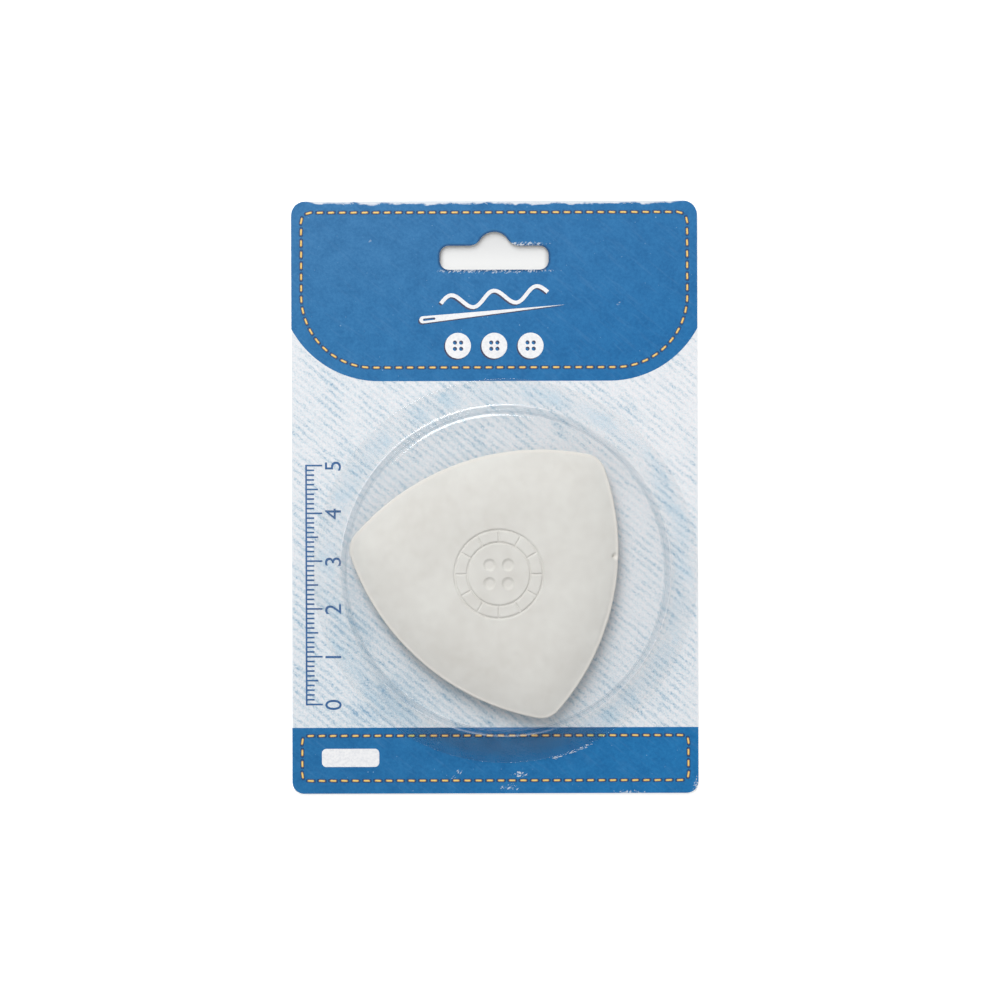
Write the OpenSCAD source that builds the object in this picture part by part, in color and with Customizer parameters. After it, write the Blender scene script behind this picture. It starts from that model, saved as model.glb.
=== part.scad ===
// Tailor's chalk in a blister pack, lying on its back.
// A loose pressed chalk sits under a clear thermoformed bubble, which is heat-sealed
// by its flange to a printed hang card with a punched slot.
// Units are millimetres. The origin is on the card's back face at the card's centre,
// +Y points to the hang slot and +Z points out of the printed front.

/* [Card] */
// Width of the hang card
card_w = 85; // [82:1:100]
// Height of the hang card
card_h = 124; // [120:1:150]
// Thickness of the solid board
card_t = 0.6; // [0.4:0.05:1.2]
// Radius of the card's two top corners
card_top_r = 3; // [1:0.5:6]
// Radius of the card's two bottom corners
card_foot_r = 2.5; // [1:0.5:6]
// Thickness of the printed ground coats
ink_t = 0.05; // [0.02:0.01:0.1]
// Thickness of what is printed on top of the ground coats
overprint_t = 0.05; // [0.02:0.01:0.1]
// Thickness of the heat-seal lacquer where it covers those overprints
seal_cover_t = 0.05; // [0.02:0.01:0.1]

/* [Hang slot] */
// Length of the slot across the card
slot_w = 22.8; // [18:0.2:30]
// Height of the slot's straight wings
slot_wing_h = 5; // [4:0.1:7]
// Rounding of the four wing corners
slot_end_r = 1.9; // [0.5:0.1:2.6]
// Radius of the lobe that centres a peg
slot_lobe_r = 3.4; // [2.4:0.1:4.5]
// Height of the lobe's crown over the wings
slot_lobe_rise = 2.9; // [1.5:0.1:3.4]
// Radius of the fillets between the lobe and the wings
slot_fillet_r = 3; // [1:0.1:4]
// Board left between the lobe's crown and the card's top edge
slot_top_gap = 6.5; // [4:0.1:8]

/* [Printed fields] */
// Height of the header field, from the card's top edge down
header_h = 37.7; // [34:0.1:42]
// Radius of the header's two lower corners
header_corner_r = 20.9; // [20:0.1:28]
// Distance of those corners' centres from the card's sides
header_corner_inset = 18.4; // [15:0.1:20]
// Height of the footer field, from the card's bottom edge up
footer_h = 13.8; // [10:0.1:16]

/* [Printed stitches] */
// Length of one stitch
stitch_l = 1.4; // [0.8:0.1:1.8]
// Width of one stitch
stitch_w = 0.42; // [0.2:0.02:0.8]
// Distance from one stitch to the next
stitch_pitch = 2.35; // [2:0.05:4]
// Distance of the stitch lines from the card's sides
stitch_side = 2.1; // [1.5:0.1:4]
// Distance of the header's top stitch line from the card's top edge
stitch_top = 2.4; // [1.5:0.1:3]
// Distance of the header's lower stitch line from the header's lower edge
header_stitch_rise = 2.85; // [1.5:0.05:4]
// Corner radius of the header's stitch line at the top
header_stitch_top_r = 2.2; // [0.5:0.1:4]
// Corner radius of the header's stitch line at the bottom
header_stitch_foot_r = 15.1; // [8:0.1:18]
// Distance of the footer's upper stitch line from the footer's upper edge
footer_stitch_drop = 1.7; // [1:0.1:3]
// Distance of the footer's lower stitch line from the card's bottom edge
footer_stitch_rise = 2.7; // [1.5:0.1:3]
// Corner radius of the footer's stitch line
footer_stitch_r = 1.4; // [0.5:0.1:2.5]

/* [Header motif] */
// Length of the printed needle
needle_l = 30; // [20:1:40]
// Width of the needle at its eye
needle_w = 1.5; // [0.8:0.1:2.5]
// Tilt of the needle from the horizontal
needle_tilt = 6; // [0:1:10]
// Length of the needle's eye
eye_l = 2.6; // [1:0.1:4]
// Width of the needle's eye
eye_w = 0.5; // [0.2:0.05:0.7]
// Width of the printed thread
thread_w = 0.8; // [0.4:0.1:1.4]
// Height of the thread's waves
thread_wave_h = 3; // [1:0.1:3.6]
// Length of one of the thread's waves
thread_wave_l = 9; // [6:0.5:14]
// Number of waves in the thread
thread_waves = 2.5; // [1:0.5:3]
// Diameter of one printed button
button_d = 5.4; // [3:0.1:7]
// Distance from one printed button to the next
button_pitch = 7.6; // [7.2:0.1:12]
// Number of printed buttons in the row
button_count = 3; // [1:1:4]
// Height of the needle's middle over the header's lower edge
needle_rise = 14.4; // [13.5:0.1:15]
// Height of the button row over the header's lower edge
button_rise = 7.4; // [6.5:0.1:8]

/* [Printed scale] */
// Number of centimetres on the printed scale
scale_cm = 5; // [2:1:6]
// Distance from one millimetre tick to the next
tick_pitch = 1; // [0.8:0.1:1.2]
// Distance of the scale's base line from the card's left side
scale_inset = 3.2; // [2.8:0.1:5]
// Height of the scale's zero over the footer's upper edge
scale_rise = 4.9; // [2:0.1:8]
// Width of the scale's lines
scale_line_w = 0.34; // [0.15:0.01:0.6]
// Length of a millimetre tick
tick_mm = 1.5; // [0.8:0.1:2.2]
// Length of a half-centimetre tick
tick_half = 2.3; // [1.5:0.1:3]
// Length of a centimetre tick
tick_cm = 3.2; // [2:0.1:4.5]

/* [Footer colour patch] */
// Length of the printed colour patch
patch_l = 12; // [6:0.5:20]
// Height of the printed colour patch
patch_h = 3.8; // [2:0.1:5]
// Distance of the colour patch from the card's left side
patch_inset = 6.2; // [4:0.1:12]
// Distance of the colour patch from the card's bottom edge
patch_rise = 5.6; // [4.5:0.1:6]

/* [Chalk] */
// Distance of each corner's rounding centre from the chalk's centre
chalk_corner_reach = 27; // [22:0.5:34]
// Radius of the chalk's three corners in plan
chalk_corner_r = 4.6; // [2:0.1:8]
// Radius of the chalk's bowed sides
chalk_side_r = 51; // [44:1:70]
// Thickness of the chalk in its flat middle
chalk_t = 6.5; // [4:0.1:9]
// Thickness of the chalk at its edge
chalk_edge_t = 1.6; // [0.8:0.1:3]
// Distance of the flat middle's rim from the centre, towards a side
chalk_flat_r = 11.5; // [10.5:0.1:16]
// How far the chalk is turned from a corner pointing along +X
chalk_turn = 49; // [-60:1:60]
// How far the loose chalk lies left of the bubble's axis
chalk_left = 1.4; // [0:0.1:4]
// How far the loose chalk lies below the bubble's axis
chalk_down = 0.6; // [0:0.1:4]

/* [Pressed button mark] */
// Outer diameter of the mark pressed into the chalk
mark_d = 19; // [12:0.5:20]
// Width of the mark's two ring grooves
mark_groove_w = 0.7; // [0.3:0.1:1.2]
// Distance between the two ring grooves, middle to middle
mark_ring_gap = 2.6; // [1.6:0.1:3]
// Diameter of the mark's four round dimples
mark_dimple_d = 2.6; // [1:0.1:3]
// Distance of the dimples from the mark's centre
mark_dimple_r = 2.7; // [2.2:0.1:3.2]
// Depth of the mark
mark_depth = 0.3; // [0.1:0.05:0.8]

/* [Blister] */
// Thickness of the clear sheet
sheet_t = 0.3; // [0.2:0.05:0.5]
// Width of the flange, from the foot of the bubble's wall out
flange_w = 5.8; // [4:0.1:6.5]
// Draft of the bubble's wall
wall_draft = 10; // [2:0.5:12]
// Outer radius of the bubble's shoulder
shoulder_r = 1.2; // [0.6:0.1:3]
// Outer radius where the wall turns into the flange
foot_r = 0.6; // [0.3:0.1:1.5]
// Free play between the chalk's reach and the wall
chalk_play = 0.6; // [0.4:0.1:2]
// Free height over the chalk
head_gap = 1.2; // [0.5:0.1:4]
// Gap between the flange and the card's right side
flange_side_gap = 0.05; // [0:0.05:1.5]
// Gap between the flange and the card's bottom edge
flange_foot_gap = 6.4; // [4:0.1:12]

/* [Hidden] */
// Smoothness of true circles
$fn = 96;
// How far a cut runs past the face that it opens
cut_over = 1;

// Edges of the card
card_right = card_w / 2;
card_top = card_h / 2;
card_foot = -card_h / 2;

// Levels, from the back up
ink_z = card_t;
front_z = ink_z + ink_t;
chalk_z = front_z + overprint_t;
seat_z = chalk_z + seal_cover_t;

// Places of the printed fields
header_edge = card_top - header_h;
footer_edge = card_foot + footer_h;

// Hang slot, built from its crown down
slot_wing_top = card_top - slot_top_gap - slot_lobe_rise;
slot_wing_foot = slot_wing_top - slot_wing_h;
slot_round_r = min(slot_end_r, slot_wing_h / 2 - 0.05);
lobe_y = slot_wing_top + slot_lobe_rise - slot_lobe_r;
lobe_lift = lobe_y - slot_wing_top;
fillet_x = sqrt(pow(slot_lobe_r + slot_fillet_r, 2) - pow(slot_fillet_r - lobe_lift, 2));
fillet_share = slot_lobe_r / (slot_lobe_r + slot_fillet_r);

// Chalk outline: three corner arcs joined by three tangent side arcs
side_span = chalk_side_r - chalk_corner_r;
side_back = (sqrt(4 * side_span * side_span - 3 * chalk_corner_reach * chalk_corner_reach)
    - chalk_corner_reach) / 2;
chalk_mid_r = chalk_side_r - side_back;
tangent_x = -side_back / 2 + chalk_side_r * (chalk_corner_reach + side_back / 2) / side_span;
tangent_y = -side_back * sin(60) + chalk_side_r * side_back * sin(60) / side_span;
corner_half = atan2(tangent_y, tangent_x);
// Steps along a corner arc, along a side arc and from the flat middle to the edge
corner_steps = 6;
side_steps = 12;
face_steps = 7;
// How sharply the faces fall towards the edge
face_power = 2.2;

// Bubble, sized by the chalk that it holds
function corner_place(k) = [
    -chalk_left + chalk_corner_reach * cos(chalk_turn + 120 * k),
    -chalk_down + chalk_corner_reach * sin(chalk_turn + 120 * k)
];
chalk_reach = max([for (k = [0:2]) norm(corner_place(k))]) + chalk_corner_r;
chalk_edge_top = chalk_z + (chalk_t + chalk_edge_t) / 2;
flange_top = seat_z + sheet_t;
bubble_r = chalk_reach + chalk_play + sheet_t / cos(wall_draft)
    + (chalk_edge_top - flange_top) * tan(wall_draft);
flange_r = bubble_r + flange_w;
bubble_top = chalk_z + chalk_t + head_gap + sheet_t;
shoulder_z = bubble_top - shoulder_r;
shoulder_x = bubble_r
    - (shoulder_r + (shoulder_z - flange_top) * sin(wall_draft)) / cos(wall_draft);
foot_z = flange_top + foot_r;
foot_x = bubble_r + foot_r * (1 - sin(wall_draft)) / cos(wall_draft);
// Smallest radius left inside a shoulder that is tighter than the sheet
inner_shoulder_r = max(shoulder_r - sheet_t, 0.05);
bend_steps = 5;

// Places of the bubble and the chalk
bubble_x = card_right - flange_side_gap - flange_r;
bubble_y = card_foot + flange_foot_gap + flange_r;
chalk_x = bubble_x - chalk_left;
chalk_y = bubble_y - chalk_down;

// Printed stitch lines
header_line = [
    card_right - stitch_side, header_edge + header_stitch_rise, card_top - stitch_top,
    header_stitch_foot_r, header_stitch_top_r
];
footer_line = [
    card_right - stitch_side, card_foot + footer_stitch_rise, footer_edge - footer_stitch_drop,
    footer_stitch_r, footer_stitch_r
];

// A flat layer of the given outline, from z up by t
module layer(z, t) {
    translate([0, 0, z]) linear_extrude(t) children();
}

// A rectangle with its own radius at the foot and at the top corners
module rounded_rect(half_w, y0, y1, r0, r1) {
    translate([-half_w, y0 + r0]) square([2 * half_w, y1 - y0 - r0 - r1]);
    translate([r0 - half_w, y0]) square([2 * (half_w - r0), 2 * r0]);
    translate([r1 - half_w, y1 - 2 * r1]) square([2 * (half_w - r1), 2 * r1]);
    for (s = [-1, 1]) {
        translate([s * (half_w - r0), y0 + r0]) circle(r0);
        translate([s * (half_w - r1), y1 - r1]) circle(r1);
    }
}

// The fillet patches beside the lobe, with both fillet arcs cut out of them
module slot_fillets() {
    meet_x = fillet_x * fillet_share;
    meet_y = lobe_y + (slot_fillet_r - lobe_lift) * fillet_share;
    difference() {
        polygon([
            [-fillet_x, slot_wing_top], [fillet_x, slot_wing_top],
            [meet_x, meet_y], [-meet_x, meet_y]
        ]);
        for (s = [-1, 1]) translate([s * fillet_x, slot_wing_top + slot_fillet_r])
            circle(slot_fillet_r);
    }
}

// The whole hang slot
module slot_shape() {
    rounded_rect(slot_w / 2, slot_wing_foot, slot_wing_top, slot_round_r, slot_round_r);
    translate([0, lobe_y]) circle(slot_lobe_r);
    slot_fillets();
}

// The die-cut card
module card_shape() {
    difference() {
        rounded_rect(card_right, card_foot, card_top, card_foot_r, card_top_r);
        slot_shape();
    }
}

// Everything above the header's lower edge and its two round corners
module header_field() {
    arc_x = card_right - header_corner_inset;
    arc_y = header_edge + header_corner_r;
    translate([-card_w, arc_y]) square([2 * card_w, card_h]);
    translate([-arc_x, header_edge]) square([2 * arc_x, 2 * header_corner_r]);
    for (s = [-1, 1]) translate([s * arc_x, arc_y]) circle(header_corner_r);
}

// Everything below the footer's upper edge
module footer_field() {
    translate([-card_w, footer_edge - card_h]) square([2 * card_w, card_h]);
}

// Lengths of the runs of a stitch line: foot, foot corner, side, top corner, top
function run_lengths(line) = [
    line[0] - line[3], line[3] * PI / 2, line[2] - line[1] - line[3] - line[4],
    line[4] * PI / 2, line[0] - line[4]
];

// Place and direction at a distance along the right half of a stitch line, from its foot up
function stitch_place(line, s) =
    let (
        run = run_lengths(line),
        s1 = s - run[0], s2 = s1 - run[1], s3 = s2 - run[2], s4 = s3 - run[3],
        a = s1 / line[3] * 180 / PI,
        b = s3 / line[4] * 180 / PI
    )
    s1 < 0 ? [s, line[1], 0]
    : s2 < 0 ? [run[0] + line[3] * sin(a), line[1] + line[3] * (1 - cos(a)), a]
    : s3 < 0 ? [line[0], line[1] + line[3] + s2, 90]
    : s4 < 0 ? [run[4] + line[4] * cos(b), line[2] - line[4] * (1 - sin(b)), 90 + b]
    : [run[4] - s4, line[2], 180];

function total(v, i = 0) = i < len(v) ? v[i] + total(v, i + 1) : 0;

// A closed line of stitches, the same on both halves
module stitches(line) {
    half = total(run_lengths(line));
    count = round(half / stitch_pitch);
    for (i = [0:count - 1]) {
        p = stitch_place(line, (i + 0.5) * half / count);
        for (m = [0, 1]) mirror([m, 0]) translate([p[0], p[1]]) rotate(p[2])
            square([stitch_l, stitch_w], center = true);
    }
}

// The needle, with its eye at the left and its point at the right
module needle_shape() {
    difference() {
        union() {
            translate([-needle_l / 2, 0]) circle(needle_w / 2);
            polygon([
                [-needle_l / 2, -needle_w / 2], [needle_l / 2, 0], [-needle_l / 2, needle_w / 2]
            ]);
        }
        translate([eye_w / 2 - needle_l / 2, -eye_w / 2]) square([eye_l - eye_w, eye_w]);
        for (x = [eye_w / 2, eye_l - eye_w / 2]) translate([x - needle_l / 2, 0])
            circle(eye_w / 2);
    }
}

// The thread's middle line and the ribbon round it
function thread_y(x) = thread_wave_h / 2 * sin(360 * x / thread_wave_l);
function thread_slope(x) =
    atan(PI * thread_wave_h / thread_wave_l * cos(360 * x / thread_wave_l));
function thread_edge(x, side) = [
    x - side * thread_w / 2 * sin(thread_slope(x)),
    thread_y(x) + side * thread_w / 2 * cos(thread_slope(x))
];
module thread_shape() {
    steps = round(16 * thread_waves);
    length = thread_waves * thread_wave_l;
    polygon(concat(
        [for (i = [0:steps]) thread_edge(i * length / steps, 1)],
        [for (i = [0:steps]) thread_edge(length - i * length / steps, -1)]
    ));
}

// A four-hole button
module button_shape(d) {
    difference() {
        circle(d / 2);
        for (a = [45:90:315]) rotate(a) translate([d * 0.17, 0]) circle(d * 0.08);
    }
}

module motif_shape() {
    translate([0, header_edge + needle_rise]) rotate(needle_tilt) {
        needle_shape();
        translate([eye_l + needle_w - needle_l / 2, needle_w + thread_wave_h / 2])
            thread_shape();
    }
    for (i = [0:button_count - 1])
        translate([(i - (button_count - 1) / 2) * button_pitch, header_edge + button_rise])
            button_shape(button_d);
}

// A centimetre scale that reads upwards, with its base line at the left
function tick_length(i) = i % 10 == 0 ? tick_cm : i % 5 == 0 ? tick_half : tick_mm;
module scale_shape() {
    last_tick = 10 * scale_cm;
    translate([scale_inset - card_right, footer_edge + scale_rise]) {
        translate([-scale_line_w, -scale_line_w / 2])
            square([scale_line_w, last_tick * tick_pitch + scale_line_w]);
        for (i = [0:last_tick])
            translate([-scale_line_w / 2, i * tick_pitch - scale_line_w / 2])
                square([tick_length(i) + scale_line_w / 2, scale_line_w]);
    }
}

module patch_shape() {
    r = patch_h / 4;
    translate([patch_inset + patch_l / 2 - card_right, card_foot + patch_rise])
        rounded_rect(patch_l / 2, 0, patch_h, r, r);
}

// The pieces

module card_board() {
    color("ghostwhite") layer(0, card_t) card_shape();
}

module denim_print() {
    color("lightsteelblue") layer(ink_z, ink_t) difference() {
        card_shape();
        header_field();
        footer_field();
    }
}

module header_print() {
    color("steelblue") layer(ink_z, ink_t) intersection() {
        card_shape();
        header_field();
    }
}

module footer_print() {
    color("steelblue") layer(ink_z, ink_t) intersection() {
        card_shape();
        footer_field();
    }
}

module header_stitches() {
    color("goldenrod") layer(front_z, overprint_t) stitches(header_line);
}

module footer_stitches() {
    color("goldenrod") layer(front_z, overprint_t) stitches(footer_line);
}

module header_motif() {
    color("white") layer(front_z, overprint_t) motif_shape();
}

module scale_print() {
    color("midnightblue") layer(front_z, overprint_t) scale_shape();
}

module patch_print() {
    color("white") layer(front_z, overprint_t) patch_shape();
}

// Heat-seal lacquer under the flange, which flows over the overprints that it meets
module seal_ring() {
    color("aliceblue", 0.5) difference() {
        layer(front_z, overprint_t + seal_cover_t) translate([bubble_x, bubble_y])
            difference() {
                circle(flange_r);
                circle(foot_x);
            }
        layer(front_z - cut_over, cut_over + overprint_t) {
            stitches(header_line);
            stitches(footer_line);
            motif_shape();
            scale_shape();
            patch_shape();
        }
    }
}

// Points of an arc round a centre
function arc(x, z, r, from, to) = [
    for (i = [0:bend_steps])
        let (a = from + (to - from) * i / bend_steps) [x + r * cos(a), z + r * sin(a)]
];

// One formed sheet: flat flange, drafted wall, round shoulder and flat crown
module blister() {
    outside = concat(
        [[flange_r, seat_z], [flange_r, flange_top]],
        arc(foot_x, foot_z, foot_r, 270, 180 + wall_draft),
        arc(shoulder_x, shoulder_z, shoulder_r, wall_draft, 90),
        [[0, bubble_top]]
    );
    inside = concat(
        [[0, bubble_top - sheet_t]],
        arc(shoulder_x, bubble_top - sheet_t - inner_shoulder_r, inner_shoulder_r, 90, wall_draft),
        arc(foot_x, foot_z, foot_r + sheet_t, 180 + wall_draft, 270)
    );
    color("lightcyan", 0.4) translate([bubble_x, bubble_y, 0])
        rotate_extrude() polygon(concat(outside, inside));
}

// Distance from the chalk's centre to its outline, by the angle from the nearest corner
function corner_edge(a) = chalk_corner_reach * cos(a)
    + sqrt(pow(chalk_corner_r, 2) - pow(chalk_corner_reach * sin(a), 2));
function side_edge(a) = -side_back * cos(60 - a)
    + sqrt(pow(chalk_side_r, 2) - pow(side_back * sin(60 - a), 2));

// Outline points as an angle and a distance, corner by corner
outline = [
    for (k = [0:2], i = [0:corner_steps + side_steps - 1])
        let (
            a = i <= corner_steps
                ? -corner_half + 2 * corner_half * i / corner_steps
                : corner_half + (120 - 2 * corner_half) * (i - corner_steps) / side_steps,
            b = min(abs(a), abs(120 - a))
        )
        [a + 120 * k, b <= corner_half ? corner_edge(b) : side_edge(b)]
];

// Half thickness at a step from the flat middle to the edge
function half_thickness(s) = chalk_edge_t / 2
    + (chalk_t - chalk_edge_t) / 2 * (1 - pow(s / face_steps, face_power));

// One closed ring of points at a step, on the upper or the lower face
function face_ring(s, side) =
    let (
        flat = chalk_flat_r / chalk_mid_r,
        share = flat + (1 - flat) * s / face_steps,
        z = chalk_t / 2 + side * half_thickness(s)
    )
    [for (p = outline) [share * p[1] * cos(p[0]), share * p[1] * sin(p[0]), z]];

// Rings in order: upper face outwards, then lower face inwards
module chalk_body() {
    n = len(outline);
    rings = concat(
        [for (s = [0:face_steps]) face_ring(s, 1)],
        [for (s = [0:face_steps]) face_ring(face_steps - s, -1)]
    );
    last = len(rings) - 1;
    polyhedron(
        points = [for (ring = rings, p = ring) p],
        faces = concat(
            [[for (i = [0:n - 1]) n - 1 - i]],
            [for (r = [0:last - 1], i = [0:n - 1], h = [0, 1])
                let (a = r * n + i, b = r * n + (i + 1) % n)
                h == 0 ? [a, b, b + n] : [a, b + n, a + n]],
            [[for (i = [0:n - 1]) last * n + i]]
        )
    );
}

// A flat ring cutter, mark_groove_w wide round the radius r
module ring_cutter(r) {
    difference() {
        cylinder(r = r + mark_groove_w / 2, h = mark_depth + cut_over);
        translate([0, 0, -cut_over])
            cylinder(r = r - mark_groove_w / 2, h = mark_depth + 3 * cut_over);
    }
}

// The pressed mark: a plain four-hole button
module mark_cutter() {
    rim_r = (mark_d - mark_groove_w) / 2;
    ring_cutter(rim_r);
    ring_cutter(rim_r - mark_ring_gap);
    for (a = [45:90:315]) rotate(a) translate([mark_dimple_r, 0, 0])
        cylinder(d = mark_dimple_d, h = mark_depth + cut_over);
}

module chalk() {
    color("whitesmoke") translate([chalk_x, chalk_y, chalk_z]) difference() {
        rotate(chalk_turn) chalk_body();
        translate([0, 0, chalk_t - mark_depth]) mark_cutter();
    }
}

card_board();
denim_print();
header_print();
footer_print();
header_stitches();
footer_stitches();
header_motif();
scale_print();
patch_print();
seal_ring();
blister();
chalk();
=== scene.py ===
import math
import bmesh
import bpy
import numpy as np
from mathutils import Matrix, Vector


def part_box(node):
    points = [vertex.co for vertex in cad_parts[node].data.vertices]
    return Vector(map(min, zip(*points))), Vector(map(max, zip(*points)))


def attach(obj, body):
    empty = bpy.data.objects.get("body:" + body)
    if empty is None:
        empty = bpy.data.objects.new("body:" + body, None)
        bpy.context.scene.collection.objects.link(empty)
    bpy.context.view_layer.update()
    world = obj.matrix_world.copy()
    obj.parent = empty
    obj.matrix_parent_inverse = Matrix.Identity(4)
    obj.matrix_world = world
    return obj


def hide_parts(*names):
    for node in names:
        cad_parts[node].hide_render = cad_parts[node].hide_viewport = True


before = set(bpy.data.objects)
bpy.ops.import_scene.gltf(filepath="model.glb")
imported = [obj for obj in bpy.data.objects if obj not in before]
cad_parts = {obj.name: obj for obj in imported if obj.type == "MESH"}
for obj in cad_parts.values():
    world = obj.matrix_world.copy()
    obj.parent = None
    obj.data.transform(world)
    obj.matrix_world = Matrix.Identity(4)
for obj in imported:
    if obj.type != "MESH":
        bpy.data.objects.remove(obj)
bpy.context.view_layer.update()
scene = bpy.context.scene
mm = 0.001

# BOARD. The hang card is 0.6 mm solid board, die cut with a euro slot and rounded corners.
# It is white and uncoated at the back. The cut edge shows its pressed plies, and the top edge
# is rubbed down to the bare fibres by handling.

studio_light = 1.2


def tint(red, green, blue):
    """The reflectance of a surface that reads as this colour, in 0 to 255 steps, in the studio."""
    steps = [v / 255 for v in (red, green, blue)]
    linear = [v / 12.92 if v <= 0.04045 else ((v + 0.055) / 1.055) ** 2.4 for v in steps]
    return tuple(v / studio_light for v in linear) + (1.0,)


class Wiring:
    """Adds nodes to a tree. An input given as a socket is linked, and any other is set."""

    def __init__(self, tree):
        self.tree = tree
        tree.nodes.clear()

    def add(self, kind, inputs=(), **settings):
        node = self.tree.nodes.new(kind)
        for name, value in settings.items():
            setattr(node, name, value)
        for key, value in dict(inputs).items():
            if isinstance(value, bpy.types.NodeSocket):
                self.tree.links.new(value, node.inputs[key])
            else:
                node.inputs[key].default_value = value
        return node

    def sum(self, operation, a, b=0.0):
        return self.add("ShaderNodeMath", {0: a, 1: b}, operation=operation).outputs[0]

    def split(self, vector):
        return self.add("ShaderNodeSeparateXYZ", {0: vector}).outputs

    def ramp(self, value, *stops):
        """A colour for a value, from stops of a place and a colour."""
        node = self.add("ShaderNodeValToRGB", {0: value})
        elements = node.color_ramp.elements
        while len(elements) < len(stops):
            elements.new(0.5)
        for element, (place, colour) in zip(elements, stops):
            element.position = place
            element.color = colour
        return node.outputs[0]


class Finish(Wiring):
    """A material that is made node by node on object coordinates in millimetres."""

    def __init__(self, name):
        self.material = bpy.data.materials.new(name)
        self.material.use_nodes = True
        super().__init__(self.material.node_tree)
        metres = self.add("ShaderNodeTexCoord").outputs["Object"]
        self.place = self.add(
            "ShaderNodeVectorMath", {0: metres, 3: 1000.0}, operation="SCALE",
        ).outputs[0]

    def product(self, first, *others):
        for other in others:
            first = self.sum("MULTIPLY", first, other)
        return first

    def total(self, *parts):
        """The sum of parts, each a value and its weight."""
        whole = None
        for value, weight in parts:
            part = value if weight == 1 else self.sum("MULTIPLY", value, weight)
            whole = part if whole is None else self.sum("ADD", whole, part)
        return whole

    def off(self, value, middle=0.0):
        """How far a value is from a middle, on either side."""
        return self.sum("ABSOLUTE", self.sum("SUBTRACT", value, middle))

    def length(self, x, y):
        arrow = self.add("ShaderNodeCombineXYZ", {0: x, 1: y}).outputs[0]
        arrow_length = self.add("ShaderNodeVectorMath", {0: arrow}, operation="LENGTH")
        return arrow_length.outputs["Value"]

    def distance(self, point):
        """How far each place lies from a point, in millimetres."""
        apart = self.add("ShaderNodeVectorMath", {0: self.place, 1: point}, operation="DISTANCE")
        return apart.outputs["Value"]

    def turned(self, turn, stretch=(1, 1, 1)):
        """Places whose first axis lies at the given angle, drawn out along their own axes."""
        return self.add("ShaderNodeMapping", {
            "Vector": self.place, "Rotation": (0, 0, math.radians(turn)), "Scale": stretch,
        }, vector_type="TEXTURE").outputs[0]

    def noise(self, size, detail=2.0, rough=0.5, turn=0.0, stretch=None):
        """Cloudy noise with features of about the given size in millimetres, around 0.5."""
        return self.add("ShaderNodeTexNoise", {
            "Vector": self.place if stretch is None else self.turned(turn, stretch),
            "Scale": 1 / size, "Detail": detail, "Roughness": rough,
        }).outputs[0]

    def step(self, value, low, high, to_low=0.0, to_high=1.0):
        """A smooth step from one value to another."""
        return self.add("ShaderNodeMapRange", {
            0: value, 1: low, 2: high, 3: to_low, 4: to_high,
        }, interpolation_type="SMOOTHSTEP").outputs[0]

    def blend(self, share, a, b, kind="MIX"):
        return self.add(
            "ShaderNodeMix", {0: share, 6: a, 7: b}, data_type="RGBA", blend_type=kind,
        ).outputs[2]

    def bump(self, height, depth, normal=None):
        """Relief from a height of 0 to 1, with its real depth in millimetres."""
        node = self.add("ShaderNodeBump", {"Height": height, "Distance": depth * mm})
        if normal is not None:
            self.tree.links.new(normal, node.inputs["Normal"])
        return node.outputs[0]

    def over(self, share, under, upper):
        """One shader over another, by its share."""
        return self.add("ShaderNodeMixShader", {0: share, 1: under.outputs[0], 2: upper.outputs[0]})

    def end(self, shader):
        self.add("ShaderNodeOutputMaterial", {0: shader.outputs[0]})
        return self.material

    def coat(self, inputs):
        """Ends the material in one principled shader."""
        return self.end(self.add("ShaderNodeBsdfPrincipled", inputs))


def dress(node, material):
    """Gives a CAD piece its finish."""
    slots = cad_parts[node].data.materials
    slots.clear()
    slots.append(material)


board = Finish("bare_board")
plies = board.noise(1.0, 3.0, 0.6, 0, (1.4, 1.4, 0.07))
fibres = board.noise(0.35, 4.0, 0.65, 20, (2.5, 0.6, 1))
board_tone = board.total((fibres, 0.5), (plies, 0.3), (board.noise(9.0, 2.0), 0.2))
dress("card_board", board.coat({
    "Base Color": board.ramp(
        board_tone, (0.25, tint(214, 212, 205)), (0.45, tint(232, 231, 226)),
        (0.7, tint(242, 241, 237)),
    ),
    "Roughness": 0.88,
    "Normal": board.bump(fibres, 0.02, board.bump(plies, 0.03)),
}))

# PRINTED FIELDS. The front has a pale faded denim ground and two satin blue fields, printed on
# the board. The ink is rubbed off along the top edge, at the slot and in a few scuffs.

print_level = 0.65
ink_relief = 0.006
ink_gleam = 0.12
bare_paper = tint(236, 240, 243)
card_side, card_top = 42.5, 62.0
slot_foot, slot_shoulder, lobe_middle = 47.6, 52.6, 52.1
twill_pitch, twill_angle, streak_angle = 1.44, -39.0, -48.0
# Painted shadow: the denim is darker round this point, just outside the bubble's foot at its lower
# left, where the bubble's shadow falls
dome_shadow_spot = (-20.5, -42.5, print_level)

denim = Finish("printed_denim")
x, y, _ = denim.split(denim.place)
_, across, _ = denim.split(denim.turned(twill_angle))
swayed = denim.total((across, 1), (denim.noise(2.2, 3.0, 0.65), 1.1))
wave = denim.sum("SINE", denim.product(denim.sum("DIVIDE", swayed, twill_pitch), 2 * math.pi))
rows = denim.product(
    denim.step(wave, -1.0, 1.0), denim.step(denim.noise(4.0, 2.0), 0.36, 0.62, 0.45, 1.1),
)
strokes = denim.step(denim.noise(0.34, 3.0, 0.72, twill_angle, (1.7, 1, 1)), 0.38, 0.66)
thread = denim.product(rows, strokes)
streaks = denim.step(denim.noise(2.0, 4.0, 0.6, streak_angle, (4.0, 1, 1)), 0.42, 0.74)
clouds = denim.step(denim.noise(12.0, 2.0, 0.5, streak_angle, (1.6, 1, 1)), 0.34, 0.62)
patches = denim.product(streaks, clouds)
washed = denim.noise(30.0, 1.0)
slubs = denim.step(denim.noise(0.7, 2.0, 0.5, 3, (24, 1, 1)), 0.63, 0.80)
grain = denim.noise(0.36, 3.0, 0.8, twill_angle, (1.3, 1, 1))
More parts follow.
